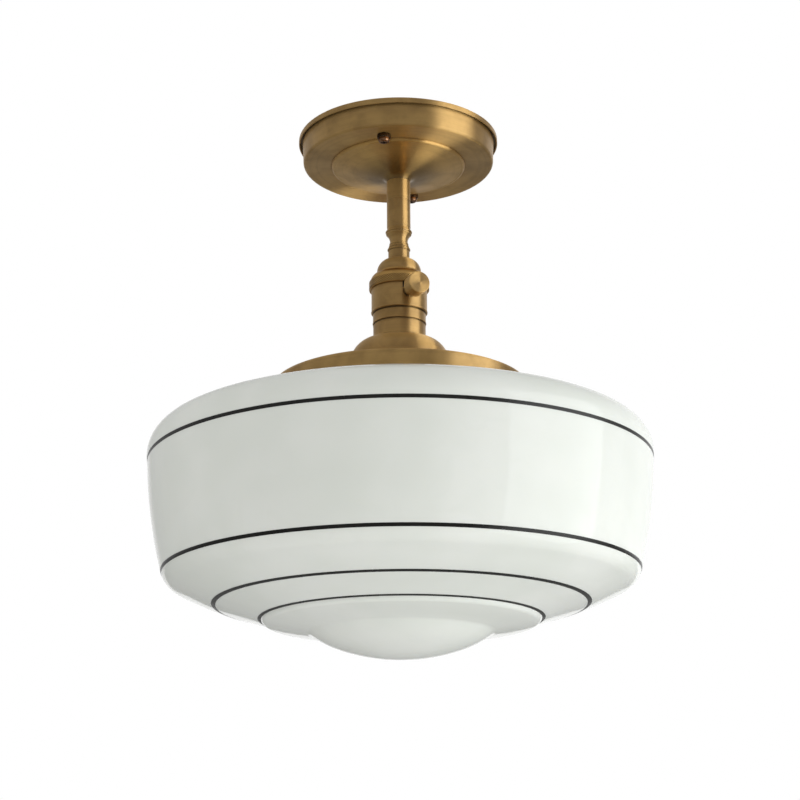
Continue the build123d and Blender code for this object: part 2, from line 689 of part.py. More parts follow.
def make_knurled_ring():
    """Clamping ring: a rounded shoulder, a wall that takes the knurl, and a grooved lower edge."""
    bore = cap_dome_r + slip_clearance
    counterbore = shell_r + thread_clearance
    knurl_z = ring_top_z - ring_shoulder_drop
    groove_z = ring_bottom_z + ring_groove_drop
    c = edge_break
    return turned((bore, ring_top_z), (bore + ring_lip, ring_top_z),
                  (bore + ring_lip + 0.15, ring_top_z - 0.7),
                  (ring_shoulder_r, knurl_z, ring_shoulder_bulge), (ring_r - 0.2, knurl_z - 0.25),
                  (ring_r, knurl_z - 0.6), (ring_r, groove_z + c), (ring_r - ring_groove_depth, groove_z),
                  (ring_r - 0.05, groove_z - 0.25), (ring_r - c, ring_bottom_z, 0.12),
                  (counterbore, ring_bottom_z), (counterbore, ring_ledge_z), (bore, ring_ledge_z))


def make_socket_shell():
    """Shell with a fine bead at its lower edge and a slot, open at the top, for the switch."""
    inner = shell_r - shell_wall
    flange_top = shell_bottom_z + shell_flange_thick
    bead_r_out = shell_r + shell_bead
    bead_slope = shell_bead_height / 3
    shell = turned((inner, shell_top_z), (shell_r, shell_top_z),
                   (shell_r, shell_bottom_z + shell_bead_height),
                   (bead_r_out, shell_bottom_z + 2 * bead_slope), (bead_r_out, shell_bottom_z + bead_slope),
                   (shell_r - 0.1, shell_bottom_z), (sleeve_hole_r, shell_bottom_z),
                   (sleeve_hole_r, flange_top), (inner, flange_top))
    reach = 4.0
    slot = radial_rod(switch_place, switch_z, slot_width / 2, shell_r - reach, shell_r + reach)
    slot_height = shell_top_z + cut_over - switch_z
    slot += Rot(0, 0, switch_place) * Pos(shell_r, 0, switch_z + slot_height / 2) * Box(
        2 * reach, slot_width, slot_height)
    return shell - slot


def make_threaded_sleeve():
    inner = sleeve_r - sleeve_wall
    flange_low = shell_bottom_z + shell_flange_thick
    flange_top = flange_low + sleeve_flange_thick
    flange_r = shell_r - shell_wall - slip_clearance
    c = edge_break
    return turned((inner, flange_top), (flange_r, flange_top), (flange_r, flange_low),
                  (sleeve_r, flange_low), (sleeve_r, sleeve_bottom_z + c),
                  (sleeve_r - c, sleeve_bottom_z), (inner, sleeve_bottom_z))


def make_band(radius, top_z, bottom_z):
    """Threaded ring round the sleeve, with a fine bead at both edges."""
    b = band_bead
    c = edge_break
    return turned((sleeve_hole_r, top_z), (radius - c / 2, top_z), (radius + b / 2, top_z - c, 0.1),
                  (radius, top_z - 0.7), (radius, bottom_z + 3 * c), (radius + b, bottom_z + 2 * c),
                  (radius + b, bottom_z + c), (radius, bottom_z), (sleeve_hole_r, bottom_z))


def make_switch_body():
    """Moulded block with a pocket for the cam, a bearing for the shaft and two threaded holes."""
    body = post(switch_body_r, switch_body_top_z, switch_body_bottom_z)
    pocket_start = cam_start - pocket_margin
    pocket_end = cam_start + cam_thick + pocket_margin
    pocket_low = switch_z - cam_r - pocket_margin
    pocket_top = switch_body_top_z + cut_over
    pocket = Box(pocket_end - pocket_start, 2 * (cam_r + pocket_margin), pocket_top - pocket_low)
    middle = Pos((pocket_start + pocket_end) / 2, 0, (pocket_top + pocket_low) / 2)
    body -= Rot(0, 0, switch_place) * middle * pocket
    body -= radial_rod(switch_place, switch_z, shaft_r + running_clearance, shaft_inner_end - 2 * end_play,
                       switch_body_r + cut_over)
    for side in (-1, 1):
        hole = post(terminal_shank_r + thread_clearance, switch_body_top_z + cut_over,
                    switch_body_top_z - terminal_shank_length - end_play, 0, side * terminal_offset)
        body -= Rot(0, 0, switch_place) * hole
    return body


def make_terminal_screws():
    """Two binding screws on top of the switch body, each over the bare core that it holds."""
    head_low = switch_body_top_z + 2 * core_r + slip_clearance
    head_top = head_low + terminal_head_height
    tip = switch_body_top_z - terminal_shank_length
    edge = terminal_head_height / 4
    screw = turned((0, head_top), (terminal_head_r - edge, head_top),
                   (terminal_head_r, head_top - edge, quarter_bulge(edge)), (terminal_head_r, head_low),
                   (terminal_shank_r, head_low), (terminal_shank_r, tip), (0, tip))
    slot = Box(3 * terminal_head_r, terminal_head_r * 0.3, terminal_head_height * 0.9)
    screw -= Pos(0, 0, head_top) * slot
    place = Rot(0, 0, switch_place)
    return Compound(children=[place * Pos(0, side * terminal_offset, 0) * screw
                              for side in (-1, 1)])


def make_socket_insulator():
    return ring(switch_body_r, insulator_bore_r, switch_body_bottom_z, insulator_bottom_z, edge_break)


def make_socket_liner():
    """Insulating tube between the sleeve and the metal that carries current."""
    return ring(liner_r, liner_r - liner_wall, switch_body_bottom_z - liner_overlap,
                sleeve_bottom_z + liner_recess)


def make_screw_shell():
    """Metal shell that takes the bulb: a flange under the insulator and a plain wall."""
    w = screw_shell_wall
    top = insulator_bottom_z
    inner = screw_shell_r - w
    return turned((screw_shell_hole_r, top), (screw_shell_r, top), (screw_shell_r, screw_shell_bottom_z),
                  (inner, screw_shell_bottom_z), (inner, top - w), (screw_shell_hole_r, top - w))


def make_centre_contact():
    """Springy tongue under the insulator, and the rivet that holds it."""
    t = contact_strip_thick
    width = contact_strip_width
    foot_z = insulator_bottom_z - t
    rivet = post(rivet_r, switch_body_bottom_z, foot_z)
    tongue = Pos(0, 0, foot_z + t / 2) * Box(width, width, t)
    drop = foot_z - bulb_tip_z
    stem = Pos(0, 0, foot_z - drop / 2) * Box(width * 0.6, t, drop)
    pad = Pos(0, 0, bulb_tip_z + t / 2) * Box(width * 0.8, width * 0.8, t)
    return rivet + tongue + stem + pad


# ---- rotary switch -------------------------------------------------------------------------------
def make_shaft_bushing():
    """Bearing for the switch shaft, with a flange that follows the round switch body."""
    seat_r = switch_body_r
    body = radial_rod(switch_place, switch_z, bushing_r, seat_r, bushing_end)
    body += radial_rod(switch_place, switch_z, bushing_r + bushing_flange_step, seat_r,
                       seat_r + bushing_flange_thick)
    body += radial_rod(switch_place, switch_z, bushing_r, seat_r - bushing_flange_thick, seat_r)
    curve = post(seat_r, switch_z + 2 * bushing_r, switch_z - 2 * bushing_r)
    bore = radial_rod(switch_place, switch_z, shaft_r + running_clearance, seat_r - bushing_r,
                      bushing_end + cut_over)
    return body - curve - bore


def make_switch_shaft():
    return radial_rod(switch_place, switch_z, shaft_r, shaft_inner_end, knob_start + knob_bore_depth)


def make_switch_cam():
    """Contact cam with lobes, on the inner end of the shaft."""
    disc = Cylinder(cam_r * cam_core_share, cam_thick)
    for i in range(cam_lobes):
        place = Rot(0, 0, 360 * i / cam_lobes) * Pos(cam_r - cam_lobe_r, 0, 0)
        disc += place * Cylinder(cam_lobe_r, cam_thick)
    disc -= Cylinder(shaft_r + press_gap, cam_thick + cut_over)
    return radial_place(switch_place, switch_z, cam_start + cam_thick / 2) * disc


def make_switch_knob():
    """Turned knob: a hub, a fluted grip and a flat face with a softened edge."""
    e = knob_edge
    c = edge_break
    hub_start = knob_hub_start - knob_start
    head = turned((0, 0), (knob_r - c, 0), (knob_r, c), (knob_r, knob_length - e),
                  (knob_r - e, knob_length, -quarter_bulge(e)), (0, knob_length))
    knob = head + post(knob_hub_r, 0, hub_start)
    flute = post(knob_flute_r, knob_length - e - knob_flute_margin, knob_flute_margin)
    for i in range(knob_flute_count):
        angle = 2 * pi * i / knob_flute_count
        centre_r = knob_r + flute_shift
        knob -= Pos(centre_r * cos(angle), centre_r * sin(angle), 0) * flute
    knob -= post(shaft_r + press_gap, knob_bore_depth + running_clearance, hub_start - cut_over)
    return radial_place(switch_place, switch_z, knob_start) * knob


# ---- shade holder --------------------------------------------------------------------------------
def make_shade_holder():
    """Spun holder: a collar, a small dome, a wide shallow plate and the gallery's rim."""
    top = holder_top_z
    crown_z = top - holder_lip_height
    dome_z = top - holder_dome_height
    foot_z = top - holder_foot_drop
    slope_end_z = plate_flat_z + holder_slope_fall
    fall = holder_crown_fall
    g = gallery_round
    w = sheet
    rim_inner = gallery_r - w
    hem = 0.5
    body = turned((sleeve_hole_r, top), (holder_lip_r, top), (holder_lip_r, crown_z),
                  (holder_crown_r, crown_z - fall, 0.05), (holder_dome_r, dome_z, holder_dome_bulge),
                  (holder_foot_r, foot_z, holder_foot_bulge), (plate_flat_r, slope_end_z, -0.3),
                  (gallery_r - g, plate_flat_z), (gallery_r, plate_flat_z - g, quarter_bulge(g)),
                  (gallery_r, gallery_bottom_z + hem),
                  (gallery_r - hem, gallery_bottom_z, quarter_bulge(hem)),
                  (rim_inner, gallery_bottom_z), (rim_inner, plate_flat_z - g),
                  (gallery_r - g, seat_z, -0.2), (plate_flat_r, slope_end_z - w),
                  (holder_foot_r - w / 2, foot_z - w, 0.3), (holder_dome_r - w, dome_z - w / 4, 1.9),
                  (holder_crown_r - fall, holder_under_z - 0.3, -2.4),
                  (lock_ring_r + hem, holder_under_z), (sleeve_hole_r, holder_under_z))
    reach = 4.0
    for i in range(thumb_screw_count):
        body -= radial_rod(thumb_angle(i), thumb_screw_z, small_screw_r + thread_clearance,
                           gallery_r - reach, gallery_r + reach)
    return body


def thumb_angle(index):
    """Angle from +X of a thumb screw; one of them is straight behind the light."""
    return thumb_screw_turn + 360 * index / thumb_screw_count


def make_holder_lock_ring():
    """Notched ring that clamps the holder from below, inside the dome."""
    body = ring(lock_ring_r, sleeve_hole_r, holder_under_z, lock_ring_bottom_z, edge_break)
    notch = Box(2 * lock_ring_notch_depth, lock_ring_notch_width, 3 * lock_ring_height)
    for i in range(lock_ring_notch_count):
        body -= Rot(0, 0, 360 * i / lock_ring_notch_count) * Pos(lock_ring_r, 0, holder_under_z) * notch
    return body


def make_thumb_screw(index):
    """Thumb screw: a coned tip, a thread and a fluted head."""
    tip = neck_r + glass_clearance
    s = small_screw_r
    e = thumb_edge
    head = thumb_head_start - tip
    length = head + thumb_head_length
    collar = head - thumb_collar_length
    body = turned((0, 0), (thumb_tip_r, 0), (s, thumb_tip_length), (s, collar),
                  (thumb_collar_r, collar), (thumb_collar_r, head), (thumb_head_r - e, head),
                  (thumb_head_r, head + e), (thumb_head_r, length - e),
                  (thumb_head_r - e, length, -quarter_bulge(e)), (0, length))
    flute = post(thumb_flute_r, length + cut_over, head - press_gap)
    for i in range(thumb_flute_count):
        angle = 2 * pi * i / thumb_flute_count
        centre_r = thumb_head_r + flute_shift
        body -= Pos(centre_r * cos(angle), centre_r * sin(angle), 0) * flute
    return radial_place(thumb_angle(index), thumb_screw_z, tip) * body


# ---- glass shade ---------------------------------------------------------------------------------
def make_glass_shade():
    """Blown shade: a lip, a neck, a round shoulder and drum, and tiers down to a shallow dome."""
    outside = [(neck_r + neck_fillet, shade_top_z - shoulder_drop, -neck_fillet_bulge)]
    for radius, drop, bulge in (shoulder_end, upper_stripe):
        outside.append((radius, shade_top_z - drop, bulge))
    tiers = (drum_stripe, bowl_corner, third_stripe, third_crease, fourth_edge, fourth_shoulder,
             fifth_edge, fifth_hollow, dome_shoulder)
    for radius, height, bulge in tiers:
        outside.append((radius, shade_bottom_z + height, bulge))
    dome_r, dome_rise, _ = dome_shoulder
    ball_r = (dome_r * dome_r + dome_rise * dome_rise) / (2 * dome_rise)
    half_chord = hypot(dome_r, dome_rise) / 2
    outside.append((0.0, shade_bottom_z, ball_r - sqrt(ball_r * ball_r - half_chord * half_chord)))
    inside = inset(outside, glass_wall)
    inside[-1] = (0.0, shade_bottom_z + glass_wall, inside[-1][2])
    bore_r = neck_r - glass_wall
    neck_end_z = shade_top_z - neck_height
    neck = [(bore_r, shade_top_z), (neck_lip_r - lip_round, shade_top_z),
            (neck_lip_r, shade_top_z - lip_round, quarter_bulge(lip_round)),
            (neck_lip_r, shade_top_z - neck_lip_height), (neck_r, lip_foot_z), (neck_r, neck_end_z)]
    return turned(*neck, *outside, *backwards(inside), (bore_r, neck_end_z, neck_fillet_bulge))


# ---- lamp bulb -----------------------------------------------------------------------------------
def make_bulb_contact():
    top = bulb_tip_z
    return turned((0, top), (bulb_contact_r - bulb_contact_round, top),
                  (bulb_contact_r, bulb_cap_top_z, 0.3), (0, bulb_cap_top_z))


def make_bulb_cap():
    """Threaded cap; the thread is a row of rolled rings."""
    top = bulb_cap_top_z
    w = bulb_cap_wall
    shoulder_z = top - bulb_cap_cone
    root_r = bulb_cap_r - bulb_thread_depth
    pitch = (shoulder_z - bulb_cap_bottom_z - bulb_thread_margin) / bulb_thread_count
    stations = [(0, top), (bulb_cap_top_r, top), (root_r, shoulder_z)]
    for i in range(bulb_thread_count):
        z = shoulder_z - i * pitch
        stations.append((bulb_cap_r, z - pitch / 2, bulb_thread_bulge))
        stations.append((root_r, z - pitch, bulb_thread_bulge))
    inner = root_r - w
    stations += [(bulb_cap_r, bulb_cap_bottom_z + bulb_cap_rim), (bulb_cap_r, bulb_cap_bottom_z),
                 (inner, bulb_cap_bottom_z), (inner, shoulder_z),
                 (bulb_cap_top_r - bulb_cap_crown, top - bulb_cap_crown), (0, top - bulb_cap_crown)]
    return turned(*stations)


def make_bulb_envelope():
    """Glass ball with a neck that widens out of the cap."""
    low = bulb_tip_z - bulb_length
    centre_z = low + bulb_r
    join = radians(bulb_join)
    w = bulb_glass
    top = bulb_cap_bottom_z
    ball_turn = join + pi / 2
    outside = [(bulb_neck_r, top - 1.0, 0.0),
               (bulb_neck_r + bulb_taper_step, top - 1.0 - bulb_taper_length, -0.1),
               (bulb_r * cos(join), centre_z + bulb_r * sin(join), bulb_neck_bulge),
               (0.0, low, bulb_r * (1 - cos(ball_turn / 2)))]
    inside = inset(outside, w)
    inside[-1] = (0.0, low + w, inside[-1][2])
    return turned((bulb_neck_r - w, top), (bulb_neck_r, top), *outside, *backwards(inside))


# ---- wires ---------------------------------------------------------------------------------------
def lead_path(side, top_z, bare_end):
    """Route of one lead: straight down the stem, then out to its terminal screw."""
    end_offset = terminal_offset - terminal_head_r - core_r - slip_clearance
    turn = Vector(0, side * lead_offset, lead_bend_z)
    landing = Vector(0, side * end_offset, switch_body_top_z + core_r + lead_landing)
    heading = (landing - turn).normalized()
    stop = landing if bare_end else landing - heading * lead_strip_back
    points = [Vector(0, side * lead_offset, top_z), turn, stop]
    return Rot(0, 0, switch_place) * FilletPolyline(*points, radius=lead_bend_r)


def make_leads(outer_r, inner_r, top_z, bare_end):
    """Both leads as tubes, or their cores where the inner radius is nothing."""
    solids = []
    for side in (-1, 1):
        path = lead_path(side, top_z, bare_end)
        start = Plane(origin=path.position_at(0), z_dir=path.tangent_at(0))
        section = start * Circle(outer_r)
        if inner_r > 0:
            section = start * (Circle(outer_r) - Circle(inner_r))
        solids.append(sweep(section, path))
    return Compound(children=solids)


# ---- the pieces and their files ------------------------------------------------------------------
pieces = {
    "backplate": make_backplate(),
    "mounting_strap": make_mounting_strap(),
    "ground_screw": make_ground_screw(),
    "ground_wire": make_ground_wire(),
    "canopy": make_canopy(),
    "canopy_screws": make_canopy_screws(),
    "canopy_screw_washers": make_canopy_washers(),
    "canopy_bell": make_canopy_bell(),
    "canopy_nipple": ring(pipe_thread_r, pipe_bore_r, nipple_top_z, nipple_bottom_z, edge_break),
    "nipple_locknut": hex_nut(nut_flats, thread_hole_r, nut_top_z, nut_bottom_z),
    "nipple_lock_washer": make_lock_washer(),
    "stem_collar": ring(stem_r, thread_hole_r, bell_neck_z, collar_bottom_z, edge_break),
    "stem_tube": make_stem_tube(),
    "turned_coupling": make_turned_coupling(),
    "check_ring": make_check_ring(),
    "socket_nipple": ring(pipe_thread_r, pipe_bore_r, socket_nipple_top_z,
                          socket_nut_bottom_z - 2 * end_play, edge_break),
    "socket_locknut": hex_nut(nut_flats, thread_hole_r, cap_boss_bottom_z, socket_nut_bottom_z),
    "socket_cap": make_socket_cap(),
    "knurled_ring": make_knurled_ring(),
    "socket_shell": make_socket_shell(),
    "threaded_sleeve": make_threaded_sleeve(),
    "upper_band": make_band(upper_band_r, upper_band_top_z, upper_band_bottom_z),
    "lower_band": make_band(lower_band_r, lower_band_top_z, lower_band_bottom_z),
    "switch_body": make_switch_body(),
    "terminal_screws": make_terminal_screws(),
    "socket_insulator": make_socket_insulator(),
    "socket_liner": make_socket_liner(),
    "screw_shell": make_screw_shell(),
    "centre_contact": make_centre_contact(),
    "shaft_bushing": make_shaft_bushing(),
    "switch_shaft": make_switch_shaft(),
    "switch_cam": make_switch_cam(),
    "switch_knob": make_switch_knob(),
    "shade_holder": make_shade_holder(),
    "holder_lock_ring": make_holder_lock_ring(),
    "glass_shade": make_glass_shade(),
    "bulb_envelope": make_bulb_envelope(),
    "bulb_cap": make_bulb_cap(),
    "bulb_contact": make_bulb_contact(),
    "lead_insulation": make_leads(lead_r, core_r, lead_top_z, False),
    "lead_cores": make_leads(core_r - core_clearance, 0.0, lead_top_z + stripped_length, True),
}
for screw_index in range(thumb_screw_count):
    pieces[f"thumb_screw_{screw_index + 1}"] = make_thumb_screw(screw_index)

os.makedirs("parts", exist_ok=True)
for node, shape in pieces.items():
    export_step(shape, f"parts/{node}.step")
print(len(pieces), "pieces written")
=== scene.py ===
"""Dresses the semi flush ceiling light: finishes, painted stripes, knurling, studio and camera.

Everything is in metres, in the frame of the light: the ceiling plane is z = 0 and +Z is up.
"""

import math

import bmesh
import bpy
from mathutils import Matrix, Vector


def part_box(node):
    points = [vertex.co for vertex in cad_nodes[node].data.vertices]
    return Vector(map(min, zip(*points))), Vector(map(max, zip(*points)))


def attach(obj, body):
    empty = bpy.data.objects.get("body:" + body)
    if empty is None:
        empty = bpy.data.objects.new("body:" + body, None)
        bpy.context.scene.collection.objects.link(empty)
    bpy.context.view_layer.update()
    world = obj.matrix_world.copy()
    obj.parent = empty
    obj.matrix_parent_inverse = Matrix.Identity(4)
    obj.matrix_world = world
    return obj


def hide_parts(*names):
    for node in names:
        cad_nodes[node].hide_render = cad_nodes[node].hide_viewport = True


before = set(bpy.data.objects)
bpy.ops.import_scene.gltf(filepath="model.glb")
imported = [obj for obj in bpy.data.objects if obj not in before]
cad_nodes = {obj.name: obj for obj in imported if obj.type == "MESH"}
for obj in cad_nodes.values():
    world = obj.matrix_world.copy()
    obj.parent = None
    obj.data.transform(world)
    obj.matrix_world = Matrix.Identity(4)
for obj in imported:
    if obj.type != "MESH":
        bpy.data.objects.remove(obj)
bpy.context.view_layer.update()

MM = 0.001

# ---- camera: fitted to the rings in the photograph -----------------------------------------------
camera_place = (0.0, -1.0110, -0.4748)
camera_pitch = math.radians(16.612)
camera_roll = math.radians(-0.420)
camera_lens = 77.41
camera_sensor = 36.0

# ---- studio --------------------------------------------------------------------------------------
floor_z = -1.5
floor_size = 60.0
floor_tone = (0.54, 0.54, 0.53)
room_level = 0.53              # the studio around the object
room_low = 0.28                # the same below the horizon
room_slope = (-0.6, 0.0)       # slopes of the change between them
backdrop_level = 1.0
# Headings turn round the light's axis, from the camera's side towards its right.
backdrop_heading = math.radians(165)
backdrop_edge = (0.68, 0.96)   # cosines of the angle from there where the backdrop starts and is full
backdrop_low = (-0.35, -0.15)  # slope where it starts and is full, upwards from the floor
key_heading = math.radians(69)
key_distance = 1.1
key_height = -0.45             # of its middle
key_size = (1.0, 1.75)
key_radiance = 2.25
key_tint = (0.97, 0.99, 1.0)
fill_aim = (0.0, 0.0, -0.25)
# Fill lamps: place, side of the square, radiance.
fills = {
    "front_fill": ((-0.95, -1.0, -0.20), 1.6, 1.0),
    "low_fill": ((0.25, -0.25, -1.40), 1.2, 1.5),
}

# ---- painted stripes on the glass ----------------------------------------------------------------
stripe_lift = 0.05 * MM
stripe_steps = 6
glass_turns = 256
# Centre of each stripe: its radius, on the lower outside of the shade, and its width.
stripes = {
    "shoulder_stripe": (152.1 * MM, 2.1 * MM),
    "drum_stripe": (142.1 * MM, 2.1 * MM),
    "upper_tier_stripe": (111.0 * MM, 2.7 * MM),
    "lower_tier_stripe": (83.9 * MM, 2.1 * MM),
}

# ---- knurl of the socket's ring ------------------------------------------------------------------
knurl_count = 72               # diamonds around the ring
knurl_rows = 3                 # diamonds from top to bottom
knurl_depth = 0.28 * MM
knurl_steps_around = 8         # mesh columns to a diamond
knurl_steps_up = 30
knurl_edge = 0.2 * MM          # over which the finish of the cuts fades at the wall's ends

# ---- meshes --------------------------------------------------------------------------------------
smooth_angle = math.radians(32)    # faces that meet at less are shaded as one surface
weld_distance = 1e-7
seam_reach = 1e-7              # of the seam's plane, for the points on a turned piece's outline
wall_reach = 1e-6              # of the largest radius, for the points on a plain wall


# ==== small node language =========================================================================
class Nodes:
    """An emptied node tree, with short calls for the nodes and sums that go in it."""

    def __init__(self, owner):
        owner.use_nodes = True
        self.tree = owner.node_tree
        self.tree.nodes.clear()

    def feed(self, socket, value):
        """Links value to the socket if it comes from a node, and otherwise sets it there."""
        if isinstance(value, bpy.types.NodeSocket):
            self.tree.links.new(value, socket)
        else:
            socket.default_value = value

    def sum(self, operation, first, second=0.0, clamp=False):
        node = self.tree.nodes.new("ShaderNodeMath")
        node.operation = operation
        node.use_clamp = clamp
        self.feed(node.inputs[0], first)
        self.feed(node.inputs[1], second)
        return node.outputs[0]

    def vector(self, operation, first, second=None, scale=None):
        node = self.tree.nodes.new("ShaderNodeVectorMath")
        node.operation = operation
        self.feed(node.inputs[0], first)
        if second is not None:
            self.feed(node.inputs[1], second)
        if scale is not None:
            self.feed(node.inputs["Scale"], scale)
        return node.outputs["Value"] if operation in ("LENGTH", "DOT_PRODUCT") else node.outputs[0]

    def split(self, vector):
        node = self.tree.nodes.new("ShaderNodeSeparateXYZ")
        self.feed(node.inputs[0], vector)
        return node.outputs

    def noise(self, vector, scale, detail=3.0, roughness=0.6, distortion=0.0, w=None):
        node = self.tree.nodes.new("ShaderNodeTexNoise")
        node.noise_dimensions = "3D" if w is None else "4D"
        self.feed(node.inputs["Vector"], vector)
        node.inputs["Scale"].default_value = scale
        node.inputs["Detail"].default_value = detail
        node.inputs["Roughness"].default_value = roughness
        node.inputs["Distortion"].default_value = distortion
        if w is not None:
            self.feed(node.inputs["W"], w)
        return node.outputs["Fac"]

    def spread(self, value, low, high, to_low=0.0, to_high=1.0):
        """Stretches low..high to to_low..to_high, smoothly and no further."""
        node = self.tree.nodes.new("ShaderNodeMapRange")
        node.interpolation_type = "SMOOTHSTEP"
        self.feed(node.inputs["Value"], value)
        node.inputs["From Min"].default_value = low
        node.inputs["From Max"].default_value = high
        node.inputs["To Min"].default_value = to_low
        node.inputs["To Max"].default_value = to_high
        return node.outputs["Result"]

    def blend(self, amount, first, second):
        """A number between first and second."""
        node = self.tree.nodes.new("ShaderNodeMix")
        for name, value in (("Factor", amount), ("A", first), ("B", second)):
            self.feed(node.inputs[name], value)
        return node.outputs["Result"]

    def mix(self, amount, first, second):
        """A colour between first and second."""
        node = self.tree.nodes.new("ShaderNodeMix")
        node.data_type = "RGBA"
        self.feed(node.inputs["Factor"], amount)
        for socket, colour in ((node.inputs[6], first), (node.inputs[7], second)):
            self.feed(socket, colour if isinstance(colour, bpy.types.NodeSocket) else (*colour, 1.0))
        return node.outputs[2]


class Finish(Nodes):
    """One material, with its shader and the calls that only a surface needs."""

    def __init__(self, name):
        self.material = bpy.data.materials.new(name)
        super().__init__(self.material)
        self.shader = self.tree.nodes.new("ShaderNodeBsdfPrincipled")
        output = self.tree.nodes.new("ShaderNodeOutputMaterial")
        self.tree.links.new(self.shader.outputs["BSDF"], output.inputs["Surface"])

    def set(self, **values):
        """Feeds sockets of the shader, named with _ for each space."""
        for name, value in values.items():
            self.feed(self.shader.inputs[name.replace("_", " ")], value)

    def place(self):
        """The point on the piece, in the light's frame at rest."""
        return self.tree.nodes.new("ShaderNodeTexCoord").outputs["Object"]

    def bump(self, height, distance, strength=1.0):
        node = self.tree.nodes.new("ShaderNodeBump")
        node.inputs["Strength"].default_value = strength
        node.inputs["Distance"].default_value = distance
        self.feed(node.inputs["Height"], height)
        return node.outputs["Normal"]

    def recess(self, reach):
        """0 in the open and 1 deep in a corner or groove."""
        node = self.tree.nodes.new("ShaderNodeAmbientOcclusion")
        node.samples = 6
        node.inputs["Distance"].default_value = reach
        return self.sum("SUBTRACT", 1.0, node.outputs["AO"])

    def edge(self, radius):
        """About 1 along sharp edges, which the finishes make brighter: partly wear, partly a painted
        highlight where beads and lips catch the light.
        """
        bevel = self.tree.nodes.new("ShaderNodeBevel")
        bevel.samples = 4
        bevel.inputs["Radius"].default_value = radius
        flat = self.tree.nodes.new("ShaderNodeNewGeometry").outputs["Normal"]
        alike = self.vector("DOT_PRODUCT", bevel.outputs["Normal"], flat)
        return self.spread(alike, 0.995, 0.85)


def linear(red, green, blue):
    """A colour as seen, from 0 to 255, as the linear values that a shader takes."""
    def channel(value):
        value /= 255.0
        return value / 12.92 if value <= 0.04045 else ((value + 0.055) / 1.055) ** 2.4
    return (channel(red), channel(green), channel(blue))


def turned_metal(name, body, patina, worn, roughness, centre=(0, 0, 0), axis=(0, 0, 1), anisotropy=1.0,
                 line_pitch=0.22 * MM, line_depth=0.006 * MM, cloud_size=14 * MM, dish=None):
    """Metal brushed on a lathe: fine lines run round the axis, and stretch each highlight across them."""
    finish = Finish(name)
    across = finish.vector("SUBTRACT", finish.place(), centre)
    height = finish.vector("DOT_PRODUCT", across, axis)
    along = finish.vector("SCALE", axis, scale=height)
    radial = finish.vector("SUBTRACT", across, along)
    radius = finish.vector("LENGTH", radial)
    heading = finish.vector("NORMALIZE", radial)
    tangent = finish.vector("CROSS_PRODUCT", axis, heading)
    turn = finish.tree.nodes.new("ShaderNodeVectorTransform")
    turn.vector_type = "VECTOR"
    turn.convert_from = "OBJECT"
    turn.convert_to = "WORLD"
    finish.feed(turn.inputs[0], tangent)

    depth = finish.sum("DIVIDE", radius, line_pitch)
    stacked = finish.vector("SCALE", axis, scale=depth)
    swept = finish.vector("ADD", finish.vector("SCALE", heading, scale=1.3), stacked)
    level = finish.sum("DIVIDE", height, line_pitch)
    lines = finish.noise(swept, 1.0, detail=4.0, roughness=0.75, w=level)
    bands = finish.noise(finish.vector("SCALE", swept, scale=0.12), 1.0, detail=2.0,
                         w=finish.sum("MULTIPLY", level, 0.12))
    clouds = finish.noise(finish.place(), 1.0 / cloud_size, detail=4.0, roughness=0.6, distortion=0.4)

    tone = finish.mix(finish.spread(clouds, 0.35, 0.75, 0.0, 0.35), body, patina)
    tone = finish.mix(finish.spread(bands, 0.45, 0.75, 0.0, 0.2), tone, patina)
    tone = finish.mix(finish.spread(lines, 0.50, 0.72, 0.0, 0.30), tone, worn)
    # Painted shade: the bell's dish darkens towards its neck, between the radii in dish.
    if dish:
        tone = finish.mix(finish.spread(radius, *dish, 0.65, 0.0), tone, [0.25 * c for c in patina])
    # Darker in corners and grooves, by ambient occlusion: painted shade, with some patina kept there.
    shade_and_patina = finish.spread(finish.recess(2.0 * MM), 0.28, 0.70, 0.0, 0.92)
    tone = finish.mix(shade_and_patina, tone, [0.1 * c for c in patina])
    # Sharp edges brighter: partly wear, partly a painted highlight along beads and lips.
    tone = finish.mix(finish.sum("MULTIPLY", finish.edge(0.35 * MM), 0.75), tone, worn)

    rough = finish.spread(lines, 0.3, 0.7, roughness - 0.05, roughness + 0.07)
    rough = finish.sum("ADD", rough, finish.spread(clouds, 0.3, 0.7, -0.03, 0.05))
    finish.set(Base_Color=tone, Metallic=1.0, Roughness=rough, Anisotropic=anisotropy,
               Anisotropic_Rotation=0.25, Tangent=turn.outputs[0], Coat_Weight=0.3, Coat_Roughness=0.25,
               Normal=finish.bump(lines, line_depth))
    return finish.material


def cast_finish(name, body, shade, roughness, metallic, grain_size=0.6 * MM, grain_depth=0.01 * MM,
                cloud_size=5 * MM, **more):
    """A plated, painted or moulded surface: fine grain, cloudy tone, painted shade in the corners and
    brighter edges, partly wear and partly painted highlight.
    """
    finish = Finish(name)
    grain = finish.noise(finish.place(), 1.0 / grain_size, detail=3.0)
    clouds = finish.noise(finish.place(), 1.0 / cloud_size, detail=4.0, distortion=0.3)
    tone = finish.mix(finish.spread(clouds, 0.35, 0.7), body, shade)
    # Darker in corners and grooves, by ambient occlusion: painted shade.
    corner_shade = finish.sum("MULTIPLY", finish.recess(1.5 * MM), 0.6)
    tone = finish.mix(corner_shade, tone, [0.35 * c for c in shade])
    # Edges brighter: partly wear, partly a painted highlight.
    edge_wear_and_highlight = finish.sum("MULTIPLY", finish.edge(0.15 * MM), 0.35)
    tone = finish.mix(edge_wear_and_highlight, tone, [min(1, 1.5 * c) for c in body])
    rough = finish.spread(clouds, 0.3, 0.7, roughness - 0.06, roughness + 0.08)
    finish.set(Base_Color=tone, Metallic=metallic, Roughness=rough, Normal=finish.bump(grain, grain_depth),
               **more)
    return finish.material


